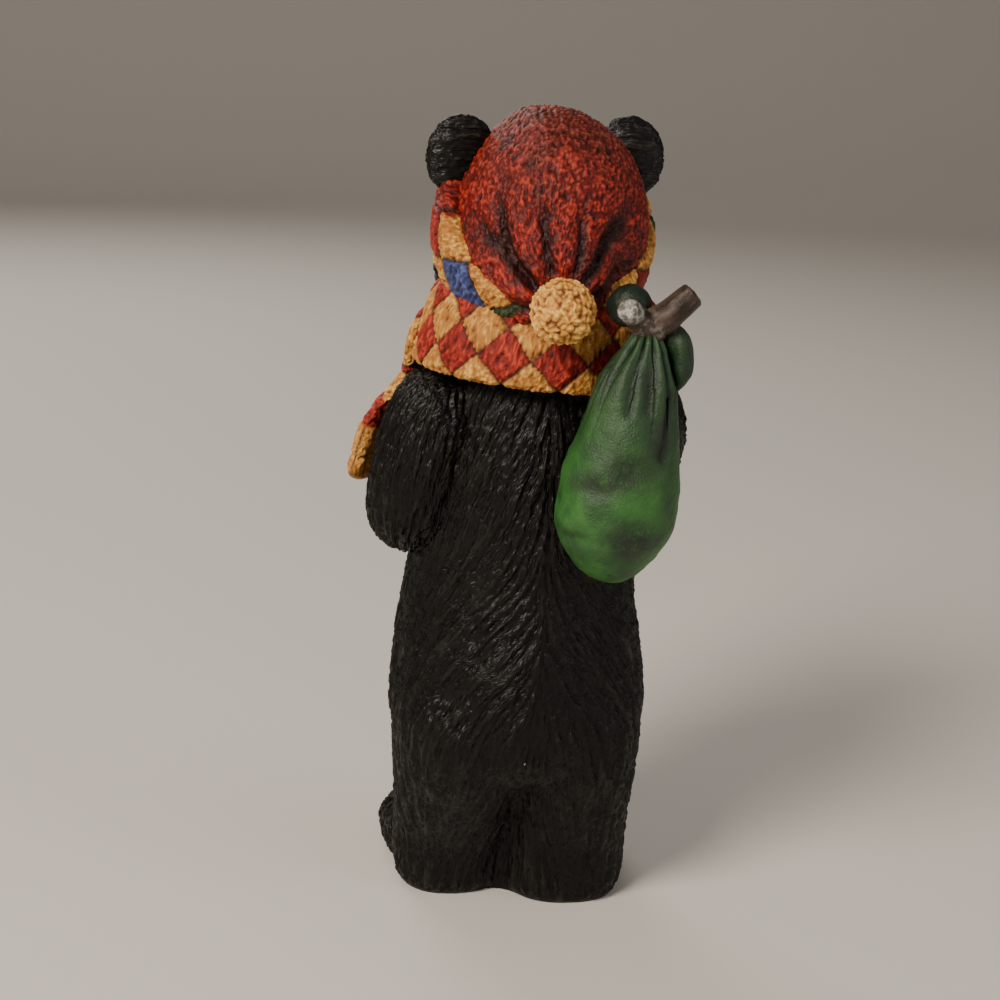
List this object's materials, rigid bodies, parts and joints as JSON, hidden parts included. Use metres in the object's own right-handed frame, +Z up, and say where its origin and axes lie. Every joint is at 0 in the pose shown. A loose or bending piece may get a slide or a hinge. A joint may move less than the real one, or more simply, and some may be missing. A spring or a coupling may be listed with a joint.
{
  "type": "bear figurine",
  "caption": "Cast resin figurine of a standing black bear in a knitted cap and lozenge scarf, carrying a stick with a cloth bundle behind its shoulder.",
  "frame": {"origin": "middle of the bounding box at the flat soles", "axes": "+Z up from the soles to the crown of the cap, the bear faces -Y, and its left side is +X"},
  "size_m": [0.0744, 0.0866, 0.1815],
  "materials": {
    "resin": "hand-painted cast resin, satin black fur with a dull red, ochre and green painted cap, scarf and bundle"
  },
  "bodies": {
    "root": {"bear_figurine": "resin"}
  },
  "joints": []
}
